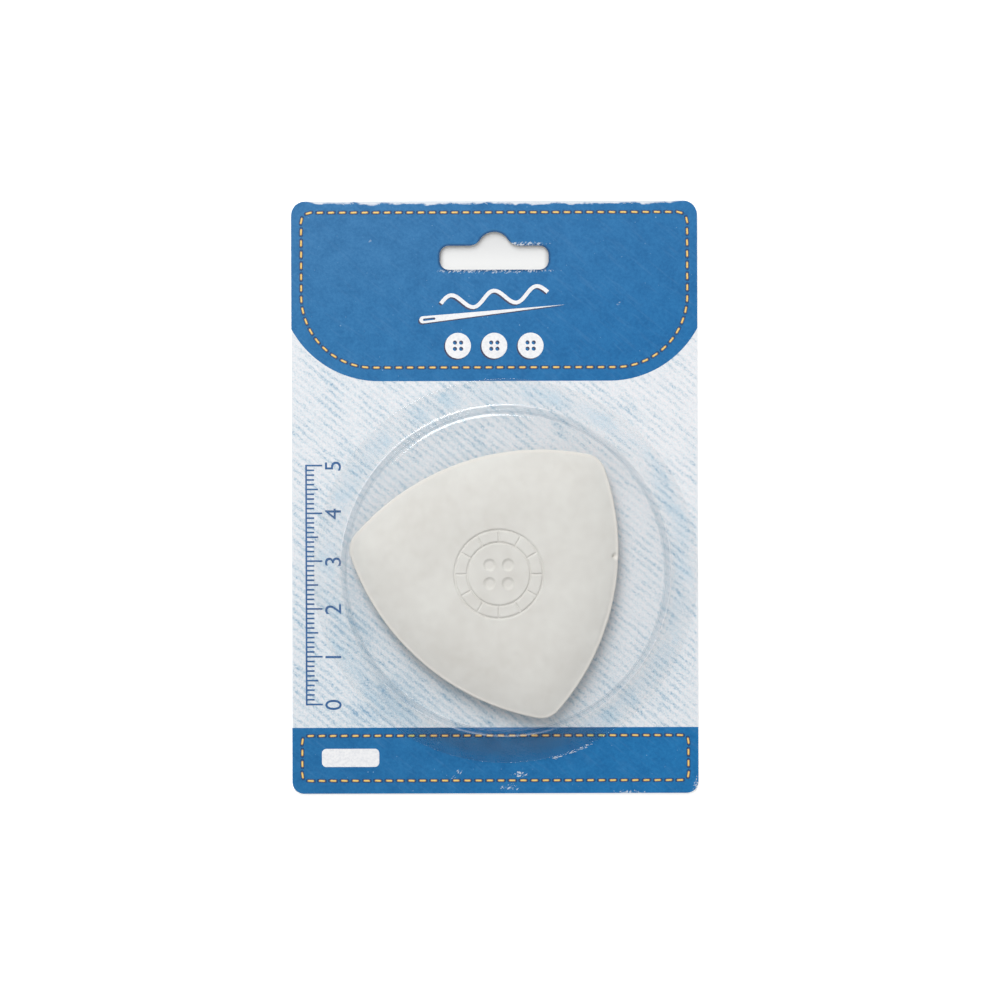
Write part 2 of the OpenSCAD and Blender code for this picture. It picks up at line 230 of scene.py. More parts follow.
# Darker towards the bottom left and paler towards the upper right: partly the print's own
# unevenness, partly painted shade where less light falls
lower_left_shade = denim.sum("SUBTRACT", denim.step(y, 24.0, -46.0), denim.step(x, -5.0, 32.0, 0.0, 0.8))
tone = denim.total(
    (rows, 0.11), (thread, 0.32), (denim.product(thread, patches), 0.14), (patches, 0.24),
    (slubs, 0.08), (denim.step(grain, 0.0, 1.0, -0.16, 0.58), 1), (washed, 0.14), (lower_left_shade, 0.10),
    # painted shadow of the bubble, just outside its foot at the lower left
    (denim.step(denim.distance(dome_shadow_spot), 9.0, 2.0, 0.0, 0.14), 1),
)
faded_blue = denim.ramp(
    tone,
    (0.12, tint(242, 243, 244)), (0.36, tint(229, 234, 237)), (0.52, tint(213, 224, 230)),
    (0.72, tint(184, 205, 218)), (1.0, tint(140, 173, 198)),
)
speckle = denim.ramp(
    denim.noise(0.30, 2.0, 0.7), (0.36, (1.05, 0.985, 0.99, 1)), (0.64, (0.95, 1.0, 1.02, 1)),
)
faded_blue = denim.blend(1.0, faded_blue, speckle, "MULTIPLY")
from_side = denim.sum("SUBTRACT", card_side, denim.off(x))
from_side = denim.total((from_side, 1), (denim.noise(1.5, 3.0), -0.9))
edge_rub = denim.step(from_side, -0.45, 0.05, 0.75, 0.0)
dress("denim_print", denim.coat({
    "Base Color": denim.blend(edge_rub, faded_blue, bare_paper),
    "Roughness": 0.5, "Specular IOR Level": ink_gleam,
    "Normal": denim.bump(denim.noise(0.5, 3.0, 0.6), ink_relief),
}))


def blue_field(name, left, right, low, scuffs, punched=()):
    """Satin blue ink with fine mottle, rubbed to the paper at the card's edges and at scuffs.

    A scuff is its middle and half sizes in millimetres and how much ink has gone. A punched form
    is its middle, half sizes and corner radius. Round it the ink is painted darker, as painted
    shade along the pressed-down cut edge. Left and right are the ink's colours at the card's two
    sides and low tints it towards the bottom; together they paint a sheen where the light falls
    from the upper left."""
    ink = Finish(name)
    x, y, _ = ink.split(ink.place)
    # Painted sheen: the colour runs from left to right and is tinted by low towards the bottom,
    # paler and redder where the light falls from the upper left
    colour = ink.blend(ink.step(x, -40, 40), left, right)
    colour = ink.blend(ink.step(y, 56, 30), colour, low, "MULTIPLY")
    mottle = ink.total((ink.noise(0.7, 3.0, 0.7), 0.6), (ink.noise(3.5, 2.0), 0.4))
    shade = ink.ramp(
        mottle,
        (0.36, (0.74, 0.84, 0.88, 1)), (0.5, (1, 1, 1, 1)), (0.64, (1.32, 1.15, 1.10, 1)),
    )
    colour = ink.blend(1.0, colour, shade, "MULTIPLY")
    outside = None
    for mid_x, mid_y, half_w, half_h, r in punched:
        past_x = ink.sum("MAXIMUM", ink.sum("SUBTRACT", ink.off(x, mid_x), half_w - r))
        past_y = ink.sum("MAXIMUM", ink.sum("SUBTRACT", ink.off(y, mid_y), half_h - r))
        far = ink.sum("SUBTRACT", ink.length(past_x, past_y), r)
        outside = far if outside is None else ink.sum("MINIMUM", outside, far)
    # Painted shade: a narrow darker band round the punched forms, along the pressed-down cut edge
    if outside is not None:
        colour = ink.blend(ink.step(outside, 0.6, 0.15, 0.0, 0.8), colour, tint(36, 74, 116))
    twill = ink.noise(1.2, 2.0, 0.5, twill_angle, (4, 0.5, 1))
    colour = ink.blend(ink.step(twill, 0.5, 0.8, 0.0, 0.22), colour, tint(84, 136, 184))
    pinholes = ink.step(ink.noise(0.55, 1.0, 0.4), 0.765, 0.82, 0.0, 0.5)
    colour = ink.blend(pinholes, colour, tint(150, 185, 215))
    # How far down the top edge is rubbed, in millimetres. This ends short of the corners.
    ragged = ink.noise(5.5, 3.0, 0.6, 0, (1, 1000, 1))
    fray = ink.noise(0.8, 3.0, 0.6, 0, (3.0, 1, 1))
    rub = ink.sum(
        "ADD", ink.step(ragged, 0.3, 0.7, 0.25, 0.85), ink.step(fray, 0.3, 0.7, -0.16, 0.16),
    )
    rub = ink.product(rub, ink.step(ink.off(x), 39.5, 36.0))
    under_top = ink.sum("SUBTRACT", card_top, y)
    worn = ink.step(ink.sum("SUBTRACT", rub, under_top), -0.22, 0.18, 0.0, 0.9)
    flakes = ink.noise(0.42, 3.0, 0.6, 40, (1.3, 0.8, 1))
    for scuff_x, scuff_y, half_w, half_h, gone in scuffs:
        far_x = ink.sum("DIVIDE", ink.off(x, scuff_x), half_w)
        far_y = ink.sum("DIVIDE", ink.off(y, scuff_y), half_h)
        far = ink.sum("POWER", ink.length(far_x, far_y), 3.0)
        chips = ink.sum("SUBTRACT", flakes, ink.product(far, 0.06))
        worn = ink.sum("MAXIMUM", worn, ink.step(chips, 0.48, 0.58, 0.0, gone))
    return ink.coat({
        "Base Color": ink.blend(worn, colour, bare_paper),
        "Roughness": ink.step(worn, 0.0, 1.0, 0.42, 0.9), "Specular IOR Level": ink_gleam,
        "Normal": ink.bump(ink.noise(0.4, 3.0, 0.6), ink_relief, ink.bump(worn, -0.03)),
    })


# The colours given at the left and right, and the header's tint towards the bottom, paint a sheen
# from the light at the upper left
dress("header_print", blue_field(
    "header_ink", tint(55, 118, 170), tint(42, 113, 169), (0.74, 0.96, 1.0, 1),
    [(0, slot_foot - 0.25, 10.5, 0.45, 0.55), (6.2, slot_shoulder + 0.4, 4.0, 0.4, 0.65),
     (-26, 53.5, 0.5, 0.4, 0.35), (26, 40.5, 0.4, 0.4, 0.3)],
    [(0, (slot_foot + slot_shoulder) / 2, 11.4, 2.5, 1.9), (0, lobe_middle, 3.4, 3.4, 3.4)],
))
dress("footer_print", blue_field(
    "footer_ink", tint(37, 110, 165), tint(33, 115, 174), (1, 1, 1, 1),
    [(-7.5, -57.5, 0.5, 0.45, 0.8), (-8.9, -58.5, 0.45, 0.4, 0.8),
     (5.2, -58.0, 1.4, 0.5, 0.8), (3.1, -60.7, 1.6, 0.6, 0.8),
     (28.0, -61.9, 3.0, 0.5, 0.6), (42.4, -60.6, 0.9, 1.6, 0.85)],
))

# STITCHES. Golden topstitching is printed round both blue fields: short raised-looking dashes
# with a lighter middle and an orange rim, in a narrow groove of darker blue.

header_run = (40.4, 27.15, 59.6, 15.1, 2.2)
footer_run = (40.4, -59.3, -49.9, 1.4, 1.4)
header_dashes, footer_dashes = 90, 76
dash_length, dash_width, dash_height = 1.42, 0.52, 0.05
groove_length, groove_width, groove_gap = 2.3, 1.0, 0.003


def stitch_line(half_w, foot, top, foot_r, top_r):
    """Points of a closed stitch line, from the middle of its foot round to the left."""
    arcs = [
        (half_w - foot_r, foot + foot_r, foot_r, -90, 0),
        (half_w - top_r, top - top_r, top_r, 0, 90),
    ]
    right = [(0.0, foot)]
    for mid_x, mid_y, r, start, end in arcs:
        steps = max(8, round(r * 3))
        for i in range(steps + 1):
            a = math.radians(start + (end - start) * i / steps)
            right.append((mid_x + r * math.cos(a), mid_y + r * math.sin(a)))
    right.append((0.0, top))
    left = [(-px, py) for px, py in reversed(right[1:-1])]
    return right + left


def new_mesh(name, points, faces=(), edges=()):
    mesh = bpy.data.meshes.new(name)
    mesh.from_pydata([tuple(c * mm for c in p) for p in points], list(edges), list(faces))
    return mesh


def put(name, data):
    """A new object in the scene, at the origin."""
    thing = bpy.data.objects.new(name, data)
    scene.collection.objects.link(thing)
    return thing


def dash_mesh(name, length, width, height):
    """One dash as a low pillow with round ends. Its rim attribute goes from 0 inside to 1."""
    points, rim, faces = [], [], []
    cols, rows = 10, 6
    for i in range(cols + 1):
        u = -math.cos(math.pi * i / cols)
        for j in range(rows + 1):
            v = -1 + 2 * j / rows
            core = length / 2 - width / 2
            end = max(0.0, abs(u) * length / 2 - core) / (width / 2)
            half = width / 2 * math.sqrt(max(0.0, 1 - end * end))
            out = min(1.0, max(abs(v), end))
            z = height * math.sqrt(max(0.0, 1 - out * out))
            points.append((u * length / 2, v * half, z))
            rim.append(out)
    for i in range(cols):
        for j in range(rows):
            a = i * (rows + 1) + j
            faces.append((a, a + rows + 1, a + rows + 2, a + 1))
    mesh = new_mesh(name, points, faces)
    mesh.attributes.new("rim", "FLOAT", "POINT").data.foreach_set("value", rim)
    return mesh


def new_tree(name, inputs):
    """An empty Geometry Nodes tree with a mesh going in and a mesh coming out."""
    tree = bpy.data.node_groups.new(name, "GeometryNodeTree")
    sockets = [("Geometry", "OUTPUT", "Geometry"), ("Geometry", "INPUT", "Geometry")]
    sockets += [(label, "INPUT", kind) for label, kind in inputs]
    for label, side, kind in sockets:
        tree.interface.new_socket(label, in_out=side, socket_type="NodeSocket" + kind)
    return Wiring(tree)


def end_tree(steps, geometry, material):
    """Ends a tree in smooth plain geometry of its own with its material."""
    smooth = steps.add("GeometryNodeSetShadeSmooth", {0: geometry}).outputs[0]
    plain = steps.add("GeometryNodeRealizeInstances", {0: smooth}).outputs[0]
    done = steps.add("GeometryNodeSetMaterial", {0: plain, "Material": material}).outputs[0]
    steps.add("NodeGroupOutput", {0: done})


def make_piece(name, steps, base, settings, material):
    """Runs a tree on a base mesh and keeps the result as a plain mesh of its own."""
    worker = put(name + "_base", base)
    modifier = worker.modifiers.new("Making", "NODES")
    modifier.node_group = steps.tree
    settings = dict(settings, Material=material)
    for item in steps.tree.interface.items_tree:
        if item.in_out == "INPUT" and item.name in settings:
            modifier[item.identifier] = settings[item.name]
    graph = bpy.context.evaluated_depsgraph_get()
    mesh = bpy.data.meshes.new_from_object(
        worker.evaluated_get(graph), preserve_all_data_layers=True, depsgraph=graph,
    )
    bpy.data.objects.remove(worker)
    mesh.name = name
    return put(name, mesh)


sewing = new_tree("sewing", [("Dash", "Object"), ("Count", "Int"), ("Material", "Material")])
given = sewing.add("NodeGroupInput").outputs
seam = sewing.add("GeometryNodeMeshToCurve", {0: given["Geometry"]}).outputs[0]
number = sewing.add("GeometryNodeInputIndex").outputs[0]
share = sewing.sum("DIVIDE", sewing.sum("ADD", number, 0.5), given["Count"])
sample = sewing.add("GeometryNodeSampleCurve", {"Curves": seam, "Factor": share}, mode="FACTOR")
marks = sewing.add("GeometryNodePoints", {
    "Count": given["Count"], "Position": sample.outputs["Position"],
}).outputs[0]
lie = sewing.add("FunctionNodeAlignRotationToVector", {
    "Vector": sample.outputs["Tangent"],
}, axis="X").outputs[0]
dash = sewing.add("GeometryNodeObjectInfo", {"Object": given["Dash"]}).outputs["Geometry"]
laid = sewing.add("GeometryNodeInstanceOnPoints", {
    "Points": marks, "Instance": dash, "Rotation": lie,
}).outputs[0]
joined = sewing.add("GeometryNodeRealizeInstances", {0: laid}).outputs[0]
end_tree(sewing, joined, given["Material"])

golden = Finish("golden_stitch")
rim = golden.add("ShaderNodeAttribute", attribute_name="rim").outputs["Fac"]
twist = golden.noise(0.22, 2.0, 0.5, 35, (1, 2.5, 1))
gold = golden.ramp(
    golden.total((rim, 1), (twist, 0.5)),
    (0.25, tint(250, 220, 134)), (0.75, tint(241, 196, 92)),
    (1.15 / 1.5, tint(218, 162, 76)), (1.0, tint(146, 116, 88)),
)
golden_stitch = golden.coat({
    "Base Color": gold, "Roughness": 0.5, "Normal": golden.bump(twist, 0.02),
})

groove = Finish("stitch_groove")
rim = groove.add("ShaderNodeAttribute", attribute_name="rim").outputs["Fac"]
groove_ink = groove.add("ShaderNodeBsdfPrincipled", {
    "Base Color": tint(26, 74, 124), "Roughness": 0.5,
})
clear = groove.add("ShaderNodeBsdfTransparent")
groove.end(groove.over(groove.step(rim, 0.45, 1.0, 0.85, 0.0), clear, groove_ink))

thread_dash = put("thread_dash", dash_mesh("thread_dash", dash_length, dash_width, dash_height))
groove_dash = put("groove_dash", dash_mesh("groove_dash", groove_length, groove_width, 0.0))
for field, run, count, node in (
    ("header", header_run, header_dashes, "header_stitches"),
    ("footer", footer_run, footer_dashes, "footer_stitches"),
):
    line_points = stitch_line(*run)
    for part, dash_object, level, finish in (
        ("stitching", thread_dash, print_level, golden_stitch),
        ("stitch_groove", groove_dash, print_level + groove_gap, groove.material),
    ):
        points = [(px, py, level) for px, py in line_points]
        ring = [(i, (i + 1) % len(points)) for i in range(len(points))]
        base = new_mesh(field + "_line", points, edges=ring)
        dashes = {"Dash": dash_object, "Count": count}
        piece = make_piece(field + "_" + part, sewing, base, dashes, finish)
        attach(piece, "card")
        if part == "stitching":
            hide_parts(node)
for dash_object in (thread_dash, groove_dash):
    bpy.data.objects.remove(dash_object)

# HEADER MOTIF. A needle with its thread and three buttons are printed in opaque white over the
# blue, with a thin dark shade down and to the left that makes them look raised.

shade_t = 0.006
shade_shift = -0.26

white = Finish("white_ink")
white_grain = white.noise(0.5, 3.0, 0.6)
node = "header_motif"
dress(node, white.coat({
    "Base Color": white.ramp(white_grain, (0.3, tint(228, 230, 234)), (0.6, tint(246, 246, 247))),
    "Roughness": 0.5, "Normal": white.bump(white_grain, ink_relief),
}))

# The shade is a thin copy of the motif, moved aside and set down on the blue
motif_shade = put("motif_shade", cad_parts[node].data.copy())
low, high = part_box(node)
for vertex in motif_shade.data.vertices:
    share = (vertex.co.z - low.z) / (high.z - low.z)
    vertex.co.x += shade_shift * mm
    vertex.co.y += shade_shift * mm
    vertex.co.z = (print_level + shade_t * share) * mm
shade_ink = Finish("motif_shade_ink")
shade_colour = shade_ink.ramp(
    shade_ink.noise(0.8, 2.0), (0.3, tint(38, 46, 82)), (0.7, tint(58, 62, 96)),
)
motif_shade.data.materials.clear()
motif_shade.data.materials.append(shade_ink.coat({"Base Color": shade_colour, "Roughness": 0.5}))
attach(motif_shade, "card")

# SCALE AND PATCH. A centimetre scale in dark blue reads up the card's left side, and a plain
# white patch stands in the footer. Both are one printed coat.

navy = Finish("navy_ink")
navy_grain = navy.total((navy.noise(0.5, 3.0, 0.7), 0.6), (navy.noise(6.0), 0.4))
navy_ink = navy.coat({
    "Base Color": navy.ramp(
        navy_grain, (0.32, tint(34, 82, 136)), (0.5, tint(46, 98, 152)), (0.68, tint(74, 124, 172)),
    ),
    "Roughness": 0.5, "Normal": navy.bump(navy_grain, ink_relief),
})
dress("scale_print", navy_ink)
dress("patch_print", white.material)

digit_height, digit_left = 3.4, -35.6
digit_level = print_level + 0.01
scale_zero, centimetre = -43.4, 10
# A digit is 0.7 of its font's size high, and its strokes are swollen a little
digit_share, digit_swell = 0.7, 0.005
for number in range(6):
    letter = bpy.data.curves.new("digit", "FONT")
    letter.body = str(number)
    letter.size = digit_height / digit_share
    letter.align_x = "CENTER"
    letter.offset = digit_swell
    letter.resolution_u = 6
    maker = put("digit", letter)
    graph = bpy.context.evaluated_depsgraph_get()
    mesh = bpy.data.meshes.new_from_object(maker.evaluated_get(graph))
    bpy.data.objects.remove(maker)
    for vertex in mesh.vertices:
        along, up = vertex.co.x * mm, vertex.co.y * mm
        vertex.co.x = digit_left * mm + digit_height * mm - up
        vertex.co.y = (scale_zero + centimetre * number) * mm + along
        vertex.co.z = digit_level * mm
    digit = put("scale_digit_" + str(number), mesh)
    mesh.materials.clear()
    mesh.materials.append(navy_ink)
    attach(digit, "card")

# HEAT SEAL. A clear lacquer holds the blister's flange to the print. Over the denim it tints
# the print a little blue in uneven patches that fade at its inner and outer edges. Over the
# footer it greys the blue ink, and this grey is partly painted shade of the bubble's wall.

bubble_x, bubble_y, crown = 2.2202, -15.3702, 8.7
segments = 288
seal_low, seal_top = 0.656, 0.744
seal_inner, seal_outer = 34.96, 40.17
footer_top = -48.2
untinted = (1, 1, 1, 1)

forming = new_tree("forming", [
    ("Segments", "Int"), ("Points", "Int"), ("Axis", "Vector"), ("Wave", "Float"),
    ("Material", "Material"),
])
given = forming.add("NodeGroupInput").outputs
here = forming.add("GeometryNodeInputPosition").outputs[0]
grid = forming.add("GeometryNodeMeshGrid", {
    "Size X": 2 * math.pi, "Size Y": 1.0,
    "Vertices X": forming.sum("ADD", given["Segments"], 1.0), "Vertices Y": given["Points"],
}).outputs["Mesh"]
spot = forming.split(here)
last_point = forming.sum("SUBTRACT", given["Points"], 1.0)
place_on = forming.sum("MULTIPLY", forming.sum("ADD", spot[1], 0.5), last_point)
drawn = forming.add("GeometryNodeSampleIndex", {
    "Geometry": given["Geometry"], "Value": here, "Index": forming.sum("ROUND", place_on),
}, data_type="FLOAT_VECTOR", domain="POINT").outputs[0]
drawn_at = forming.split(drawn)
round_place = forming.add("ShaderNodeCombineXYZ", {
    0: forming.sum("MULTIPLY", forming.sum("COSINE", spot[0]), drawn_at[0]),
    1: forming.sum("MULTIPLY", forming.sum("SINE", spot[0]), drawn_at[0]), 2: drawn_at[2],
}).outputs[0]
moved = forming.add(
    "ShaderNodeVectorMath", {0: round_place, 1: given["Axis"]}, operation="ADD",
).outputs[0]
# The sheet waves a little, not at all up to 2 mm and most at the crown
ripple = forming.add("ShaderNodeTexNoise", {"Vector": moved, "Scale": 90.0, "Detail": 1.0})
ripple = forming.sum("MULTIPLY", ripple.outputs[0], given["Wave"])
upper = forming.add("ShaderNodeMapRange", {
    0: drawn_at[2], 1: 2 * mm, 2: crown * mm, 3: 0.0, 4: -1.0,
}).outputs[0]
lifted = forming.add("ShaderNodeCombineXYZ", {2: forming.sum("MULTIPLY", ripple, upper)})
final = forming.add(
    "ShaderNodeVectorMath", {0: moved, 1: lifted.outputs[0]}, operation="ADD",
).outputs[0]
shaped = forming.add("GeometryNodeSetPosition", {0: grid, "Position": final}).outputs[0]
closed = forming.add("GeometryNodeMergeByDistance", {0: shaped, "Distance": 0.002 * mm}).outputs[0]
end_tree(forming, closed, given["Material"])


def formed(name, profile, wave, material):
    """A round piece about the bubble's axis, from its profile of radius and height."""
    line = new_mesh(name + "_profile", [(r, 0, z) for r, z in profile])
    piece = make_piece(name, forming, line, {
        "Segments": segments, "Points": len(profile),
        "Axis": (bubble_x * mm, bubble_y * mm, 0.0), "Wave": wave * mm,
    }, material)
    shell = bmesh.new()
    shell.from_mesh(piece.data)
    bmesh.ops.recalc_face_normals(shell, faces=shell.faces)
    shell.to_mesh(piece.data)
    shell.free()
    return piece


seal = Finish("seal_lacquer")
_, y, _ = seal.split(seal.place)
flow = seal.noise(3.4, 4.0, 0.62, streak_angle, (2.6, 1, 1))
flecks = seal.noise(0.36, 3.0, 0.75, twill_angle, (1.6, 1, 1))
flow = seal.total((flow, 1), (seal.sum("SUBTRACT", flecks, 0.5), 0.45))
on_blue = seal.step(y, footer_top + 0.1, footer_top - 0.1)
pale_tint = seal.ramp(
    flow, (0.40, untinted), (0.54, (0.955, 0.98, 0.995, 1)), (0.70, (0.86, 0.935, 0.975, 1)),
)
# Over the footer the ink is greyed and, towards the flange's edge, turned teal: partly the lacquer,
# partly painted shade of the bubble's wall
blue_tint_and_shade = seal.ramp(flow, (0.35, (0.92, 0.88, 0.87, 1)), (0.7, (0.84, 0.80, 0.80, 1)))
from_axis = seal.distance((bubble_x, bubble_y, (seal_low + seal_top) / 2))
held = seal.product(
    seal.step(from_axis, seal_inner, seal_inner + 1.6),
    seal.step(from_axis, seal_outer, seal_outer - 1.8),
)
pale_tint = seal.blend(held, untinted, pale_tint)
blue_tint_and_shade = seal.blend(seal.step(from_axis, 39.4, 37.6), (0.62, 0.89, 0.92, 1), blue_tint_and_shade)
under_side = seal.add("ShaderNodeNewGeometry").outputs["Backfacing"]
seal_tint = seal.blend(under_side, seal.blend(on_blue, pale_tint, blue_tint_and_shade), untinted)
seal_clear = seal.add("ShaderNodeBsdfTransparent", {0: seal_tint})
seal_gloss = seal.add("ShaderNodeBsdfGlossy", {"Roughness": 0.25})
seal.end(seal.over(seal.step(under_side, 0.0, 1.0, 0.003, 0.0), seal_clear, seal_gloss))

film = [(seal_inner, seal_low), (seal_outer, seal_low), (seal_outer, seal_top)]
film += [(seal_inner, seal_top), (seal_inner, seal_low)]
seal_film = formed("seal_film", film, 0.0, seal.material)
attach(seal_film, "card")
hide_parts("seal_ring")

# CHALK. A pressed white chalk lies loose on the card: a rounded triangle with bowed sides, thick
# in the middle and thin at its edge. A plain four-hole button is pressed into its face, and the
# right side has a nick and a flaked rim.

chalk_x, chalk_y, chalk_z = 0.8202, -15.9702, 0.70
chalk_turn = math.radians(49.0)
corner_reach, corner_r, side_r = 27.0, 4.6, 51.0
chalk_t, edge_t, flat_r = 6.5, 1.6, 11.5
face_power = 2.2
rim_round, rim_wear = 0.45, 0.05
mark_rim, mark_inner, mark_depth = 9.15, 6.55, 0.34
rim_spokes = 12
hole_r, hole_ring = 1.3, 2.7
nick_x, nick_y, nick_r, nick_depth = 24.1, 3.65, 0.75, 0.5
bite_r, bite_depth = 0.6, 0.45
flake_w, flake_slope, flake_depth = 0.9, 0.18, 0.11
peak_sink = 0.02
around = 480

span = side_r - corner_r
side_back = (math.sqrt(4 * span * span - 3 * corner_reach ** 2) - corner_reach) / 2
tangent_x = -side_back / 2 + side_r * (corner_reach + side_back / 2) / span
tangent_y = -side_back * math.sin(math.radians(60)) * (1 - side_r / span)
mid_r = side_r - side_back

angles = np.arange(around) * 2 * math.pi / around
folded = np.abs((angles + math.pi / 3) % (2 * math.pi / 3) - math.pi / 3)
corner_rise = corner_reach * np.sin(folded)
side_slant = math.pi / 3 - folded
reach = np.where(
    folded <= math.atan2(tangent_y, tangent_x),
    corner_reach * np.cos(folded) + np.sqrt(np.maximum(0, corner_r ** 2 - corner_rise ** 2)),
    -side_back * np.cos(side_slant) + np.sqrt(side_r ** 2 - (side_back * np.sin(side_slant)) ** 2),
)


def lumps(px, py, seed, size):
    """Smooth lumps of about the given size, between -1 and 1, the same on each run."""
    dice = np.random.default_rng(seed)
    total = np.zeros_like(px)
    for _ in range(7):
        angle, phase = dice.uniform(0, 2 * math.pi, 2)
        wave_length = size * dice.uniform(0.7, 1.6)
        along = px * math.cos(angle) + py * math.sin(angle)
        total += np.sin(along * 2 * math.pi / wave_length + phase)
    return total / 7


def pit(distance, half_width):
    """Depth from 1 in the middle of a pressed line to 0 at its shoulders."""
    share = np.minimum(distance / half_width, 1)
    return np.where(distance < half_width, 0.5 + 0.5 * np.cos(math.pi * share), 0.0)


def face_drop(px, py, upper):
    """How far the face lies under its plain form at points of the chalk."""
    drop = 0.035 * (1 + lumps(px, py, 3, 14.0)) / 2 + 0.012 * (1 + lumps(px, py, 5, 2.6)) / 2
    if not upper:
        return drop
    far = np.hypot(px, py)
    mark = np.maximum(pit(np.abs(far - mark_rim), 0.36), pit(np.abs(far - mark_inner), 0.32))
    between = np.abs((np.arctan2(py, px) * rim_spokes / (2 * math.pi)) % 1 - 0.5) * 2
    spokes = pit((1 - between) * far * math.pi / rim_spokes, 0.30)
    mark = np.maximum(mark, 0.75 * np.where((far > mark_inner) & (far < mark_rim), spokes, 0.0))
    for k in range(4):
        hole = math.radians(45 + 90 * k)
        far_hole = np.hypot(px - hole_ring * math.cos(hole), py - hole_ring * math.sin(hole))
        mark = np.maximum(mark, np.clip((hole_r - far_hole) / 0.5, 0, 1) ** 0.7)
    return drop + mark_depth * mark


def on_card(radius):
    """Points at a radius all round the chalk, turned so that the mark stands upright."""
    px, py = radius * np.cos(angles), radius * np.sin(angles)
    c, s = math.cos(chalk_turn), math.sin(chalk_turn)
    return px * c - py * s, px * s + py * c


flat_share = flat_r / mid_r
levels = np.concatenate([
    np.linspace(0.012, flat_share, 92), np.linspace(flat_share, 1.0, 44)[1:],
])
halves = []
for side in (1, -1):
    rings = []
    for share_out in levels if side == 1 else levels[::3]:
        px, py = on_card(share_out * (reach - rim_round))
        s = max(0.0, (share_out - flat_share) / (1 - flat_share))
        half = edge_t / 2 + (chalk_t - edge_t) / 2 * (1 - s ** face_power)
        z = chalk_t / 2 + side * (half - face_drop(px, py, side == 1))
        rings.append(np.stack([px, py, z], 1))
    # The rounded rim, from the face to the middle of the edge
    for step_out in (0.25, 0.5, 0.75, 1.0):
        a = step_out * math.pi / 2
        radius = reach - rim_round * (1 - math.sin(a))
        px, py = on_card(radius)
        half = edge_t / 2 - rim_round * (1 - math.cos(a))
        wear = rim_wear * lumps(px, py, 11, 1.8) + rim_wear * lumps(px, py, 12, 5.0)
        left = 1 - np.maximum(wear, 0) / radius
        z = np.full(around, chalk_t / 2 + side * half)
        rings.append(np.stack([px * left, py * left, z], 1))
    halves.append(rings)
rings = halves[0] + halves[1][::-1]
cloud = np.concatenate(rings)

# The nick and the flaked rim on the right side
upper_side = cloud[:, 2] > chalk_t / 2 - 0.5
far_nick = np.hypot(cloud[:, 0] - nick_x, cloud[:, 1] - nick_y)
cloud[:, 2] -= np.where(upper_side, nick_depth * pit(far_nick, nick_r), 0)
cloud[:, 0] -= bite_depth * pit(far_nick, bite_r)
out = np.hypot(cloud[:, 0], cloud[:, 1])
turn = np.arctan2(cloud[:, 1], cloud[:, 0])
turn_deg = np.degrees(turn)
flake_zone = np.clip((turn_deg + 40) / 6, 0, 1) * np.clip((8 - turn_deg) / 4, 0, 1)
edge_here = np.interp(
    (turn - chalk_turn) % (2 * math.pi), np.append(angles, 2 * math.pi), np.append(reach, reach[0]),
)
from_edge = edge_here - out - flake_w - 0.25 * lumps(cloud[:, 0], cloud[:, 1], 21, 6.0)
flake = np.clip(-from_edge / flake_slope, 0, 1) * flake_zone
cloud[:, 2] -= np.where(upper_side, flake_depth * flake, 0)

middle = np.array([chalk_x, chalk_y, chalk_z])
peak = len(cloud)
cloud = np.concatenate([cloud, [[0, 0, chalk_t - peak_sink], [0, 0, peak_sink]]]) + middle
faces = []
for row in range(len(rings) - 1):
    start = row * around
    for i in range(around):
        j = (i + 1) % around
        faces.append((start + i, start + around + i, start + around + j, start + j))
last = (len(rings) - 1) * around
for i in range(around):
    j = (i + 1) % around
    faces.append((peak, i, j))
    faces.append((peak + 1, last + j, last + i))
chalk_mesh = new_mesh("pressed_chalk", cloud.tolist(), faces)
chalk_mesh.shade_smooth()
chalk_piece = put("pressed_chalk", chalk_mesh)

powder = Finish("pressed_chalk")
dust = powder.noise(0.16, 4.0, 0.75)
press = powder.noise(2.2, 3.0, 0.6)
smears = powder.noise(9.0, 2.0, 0.5, 25, (1.6, 1, 1))
chalk_colour = powder.ramp(
    powder.total((dust, 0.35), (press, 0.30), (smears, 0.35)),
    (0.34, tint(218, 215, 208)), (0.5, tint(226, 224, 218)), (0.66, tint(233, 232, 226)),
)
# The rim is painted paler as a highlight, up to where the rounded edge meets the face
rim_top = chalk_z + (chalk_t + edge_t) / 2
rim_level = powder.total((powder.split(powder.place)[2], 1), (dust, 0.15))
rim_highlight = powder.step(rim_level, rim_top + 0.23, rim_top + 0.05, 0.0, 0.45)
chalk_mesh.materials.append(powder.coat({
    "Base Color": powder.blend(rim_highlight, chalk_colour, tint(244, 238, 230)),
    "Roughness": 0.95, "Specular IOR Level": 0.15,
    "Normal": powder.bump(dust, 0.018, powder.bump(press, 0.03)),
}))
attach(chalk_piece, "chalk")
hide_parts("chalk")

# BLISTER. One clear sheet, 0.3 mm thick, is drawn hot into a round bubble with a flat flange.
# The crown sinks a little, the shoulder is tight, and the wall leans in. The flange is sealed to
# the card.

sheet_t = 0.3
flange_low, flange_top = 0.75, 1.05
flange_r, foot_x, foot_r = 40.2298, 34.9333, 0.6
shoulder_x, shoulder_z, shoulder_r = 32.0740, 7.5, 1.2
draft = 10.0
mid_flange = 37.5
sheet_index = 1.34
crown_sag = [(0.0, 0.06), (8.0, 0.05), (16.0, 0.03), (24.0, 0.01), (30.0, 0.0)]


def bend(mid_x, mid_z, r, start, end, steps):
    """Points of a profile round a bend, from one angle to another."""
    turns = [math.radians(start + (end - start) * i / steps) for i in range(steps + 1)]
    return [(mid_x + r * math.cos(a), mid_z + r * math.sin(a)) for a in turns]


